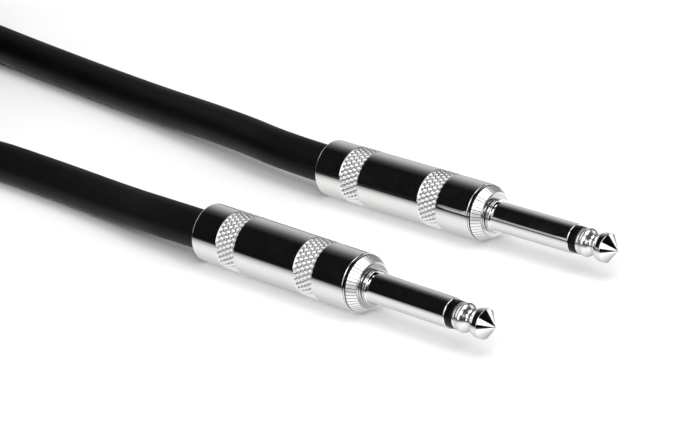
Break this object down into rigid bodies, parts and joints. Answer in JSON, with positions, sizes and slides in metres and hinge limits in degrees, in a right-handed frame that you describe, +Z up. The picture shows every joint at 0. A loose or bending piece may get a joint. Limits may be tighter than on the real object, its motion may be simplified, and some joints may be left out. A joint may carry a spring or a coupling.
{
  "type": "instrument cable",
  "caption": "Shielded instrument cable with a straight quarter-inch phone plug on each end, screw-on knurled metal barrels, and its spare length in a tied round coil.",
  "frame": {"origin": "middle of the two plugs' outline, on the surface that they and the cable lie on", "axes": "+X along plug A towards its tip, +Y from plug A to plug B, +Z up"},
  "size_m": [0.3116, 0.1184, 0.0356],
  "materials": {
    "nickel": "polished nickel plate on turned brass",
    "barrel_nickel": "polished nickel plate, two diamond-knurled bands",
    "black_insulator": "black phenolic, smooth",
    "inner_insulator": "natural plastic",
    "tinned_steel": "tinned steel strip",
    "fibre": "brown vulcanised fibre",
    "brass_lug": "stamped brass",
    "core_insulation": "translucent white polyethylene",
    "copper": "bare stranded copper",
    "solder": "tin solder, smooth",
    "liner_plastic": "grey plastic tube",
    "jacket": "satin black flexible PVC",
    "tie_fabric": "black hook-and-loop tape"
  },
  "bodies": {
    "root": {"plug_a_sleeve": "nickel", "plug_a_tip": "nickel", "plug_a_tip_ring": "black_insulator", "plug_a_rod_insulator": "inner_insulator", "plug_a_earth_lug": "tinned_steel", "plug_a_fibre_washer": "fibre", "plug_a_tip_lug": "brass_lug", "plug_a_core_insulation": "core_insulation", "plug_a_core_wire": "copper", "plug_a_screen_tail": "copper", "plug_a_tip_solder": "solder", "plug_a_earth_solder": "solder", "plug_b_sleeve": "nickel", "plug_b_tip": "nickel", "plug_b_tip_ring": "black_insulator", "plug_b_rod_insulator": "inner_insulator", "plug_b_earth_lug": "tinned_steel", "plug_b_fibre_washer": "fibre", "plug_b_tip_lug": "brass_lug", "plug_b_core_insulation": "core_insulation", "plug_b_core_wire": "copper", "plug_b_screen_tail": "copper", "plug_b_tip_solder": "solder", "plug_b_earth_solder": "solder", "cable_run_a": "jacket", "cable_run_b": "jacket", "cable_coil": "jacket", "cable_tie": "tie_fabric"},
    "barrel_a": {"plug_a_barrel": "barrel_nickel"},
    "liner_a": {"plug_a_liner": "liner_plastic"},
    "barrel_b": {"plug_b_barrel": "barrel_nickel"},
    "liner_b": {"plug_b_liner": "liner_plastic"}
  },
  "joints": [
    {"name": "barrel_a_travel", "type": "slide", "parent": "root", "child": "liner_a", "axis": [-1, 0, 0], "range_m": [0, 0.007]},
    {"name": "barrel_a_turn", "type": "hinge", "parent": "liner_a", "child": "barrel_a", "pos_m": [-0.01258, -0.02385, 0.0062], "axis": [-1, 0, 0], "range_deg": [0, 2520]},
    {"name": "barrel_b_travel", "type": "slide", "parent": "root", "child": "liner_b", "axis": [-0.9995, -0.03, 0], "range_m": [0, 0.007]},
    {"name": "barrel_b_turn", "type": "hinge", "parent": "liner_b", "child": "barrel_b", "pos_m": [-0.02192, 0.02328, 0.0062], "axis": [-0.9995, -0.03, 0], "range_deg": [0, 2520]}
  ],
  "couplings": [
    {"joint": "barrel_a_travel", "follows": "barrel_a_turn", "m_per_rad": 0.00015915},
    {"joint": "barrel_b_travel", "follows": "barrel_b_turn", "m_per_rad": 0.00015915}
  ]
}
